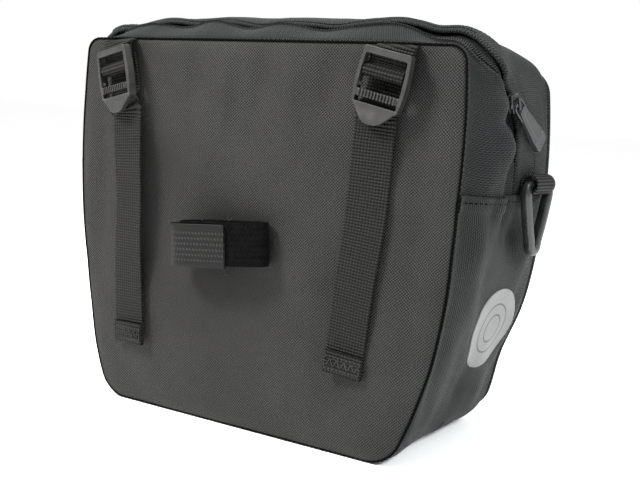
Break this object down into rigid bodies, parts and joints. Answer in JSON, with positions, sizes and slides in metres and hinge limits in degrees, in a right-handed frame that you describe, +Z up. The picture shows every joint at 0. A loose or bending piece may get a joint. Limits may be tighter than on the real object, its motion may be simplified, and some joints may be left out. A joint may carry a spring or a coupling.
{
  "type": "pannier bag",
  "caption": "Zipped fabric handlebar or rack bag on a stiff bowed back, hung by two buckled webbing straps and a hook-and-loop strap, with side pockets and rings.",
  "frame": {"origin": "on the surface the bag stands on, under the middle of the whole bag", "axes": "+Z up, -Y out of the back panel that carries the straps, +X to the right when facing that panel"},
  "size_m": [0.3284, 0.1424, 0.2545],
  "materials": {
    "panel_canvas": "woven polyester canvas, matt",
    "gusset_canvas": "woven polyester canvas, slight sheen",
    "binding": "woven tape",
    "webbing": "ribbed polypropylene webbing",
    "hook_tape": "hook side of a fastening tape",
    "loop_tape": "loop side of a fastening tape",
    "zip_tape": "woven zip tape with nylon coil",
    "moulded_plastic": "moulded, fine matt",
    "pull_plastic": "soft moulded, matt",
    "zip_metal": "plated zinc",
    "reflective": "retroreflective transfer",
    "board": "polyethylene sheet"
  },
  "bodies": {
    "bag": {"back_binding": "binding", "back_board": "board", "back_panel": "panel_canvas", "base_board": "board", "base_panel": "gusset_canvas", "front_binding": "binding", "front_panel": "panel_canvas", "hook_root": "hook_tape", "loop_anchor": "loop_tape", "loop_tape": "loop_tape", "pocket_hem_left": "gusset_canvas", "pocket_hem_right": "gusset_canvas", "reflective_patch_left": "reflective", "reflective_patch_right": "reflective", "ring_tab_left": "webbing", "ring_tab_right": "webbing", "side_gusset_left": "gusset_canvas", "side_gusset_right": "gusset_canvas", "side_pocket_left": "gusset_canvas", "side_pocket_right": "gusset_canvas", "top_gusset_rear": "gusset_canvas", "zip_tape_rear": "zip_tape"},
    "flap": {"top_gusset_front": "gusset_canvas", "flap_side_right": "gusset_canvas", "flap_side_left": "gusset_canvas", "flap_front": "panel_canvas", "flap_binding": "binding", "zip_tape_front": "zip_tape"},
    "slider": {"zip_slider": "zip_metal"},
    "pull": {"pull_link": "zip_metal", "zip_pull": "pull_plastic"},
    "hook_end": {"hook_tab": "hook_tape"},
    "buckle_set_right": {"seam_loop_right": "webbing", "buckle_right": "moulded_plastic", "threaded_strap_right": "webbing"},
    "tail_right": {"strap_tail_right": "webbing", "strap_hem_right": "webbing"},
    "ring_right": {"side_ring_right": "moulded_plastic"},
    "buckle_set_left": {"seam_loop_left": "webbing", "buckle_left": "moulded_plastic", "threaded_strap_left": "webbing"},
    "tail_left": {"strap_tail_left": "webbing", "strap_hem_left": "webbing"},
    "ring_left": {"side_ring_left": "moulded_plastic"}
  },
  "joints": [
    {"name": "mouth_fold", "type": "hinge", "parent": "bag", "child": "flap", "pos_m": [0, 0.0549, 0.165], "axis": [-1, 0, 0], "range_deg": [0, 60]},
    {"name": "zip_run", "type": "slide", "parent": "bag", "child": "slider", "axis": [0.0487, 0.3457, -0.9371], "range_m": [-0.002, 0.006]},
    {"name": "pull_lift", "type": "hinge", "parent": "slider", "child": "pull", "pos_m": [0.1492, -0.00771, 0.20795], "axis": [-0.1133, -0.564, -0.818], "range_deg": [0, 120]},
    {"name": "hook_peel", "type": "hinge", "parent": "bag", "child": "hook_end", "pos_m": [-0.0383, -0.07045, 0.1115], "axis": [0, 0, -1], "range_deg": [0, 150]},
    {"name": "strap_swing_right", "type": "hinge", "parent": "bag", "child": "buckle_set_right", "pos_m": [0.094, -0.0526, 0.2315], "axis": [-0.9781, 0, 0.2079], "range_deg": [0, 95]},
    {"name": "tail_swing_right", "type": "hinge", "parent": "buckle_set_right", "child": "tail_right", "pos_m": [0.086, -0.0566, 0.1878], "axis": [-0.9969, 0, 0.0785], "range_deg": [-1, 90]},
    {"name": "ring_swing_right", "type": "hinge", "parent": "bag", "child": "ring_right", "pos_m": [0.15642, 0.02173, 0.163], "axis": [-0.1772, -0.9842, 0], "range_deg": [-4, 100]},
    {"name": "strap_swing_left", "type": "hinge", "parent": "bag", "child": "buckle_set_left", "pos_m": [-0.094, -0.0526, 0.2315], "axis": [-0.9781, 0, -0.2079], "range_deg": [0, 95]},
    {"name": "tail_swing_left", "type": "hinge", "parent": "buckle_set_left", "child": "tail_left", "pos_m": [-0.086, -0.0566, 0.1878], "axis": [-0.9969, 0, -0.0785], "range_deg": [-1, 90]},
    {"name": "ring_swing_left", "type": "hinge", "parent": "bag", "child": "ring_left", "pos_m": [-0.15642, 0.02173, 0.163], "axis": [-0.1772, 0.9842, 0], "range_deg": [-4, 100]}
  ]
}
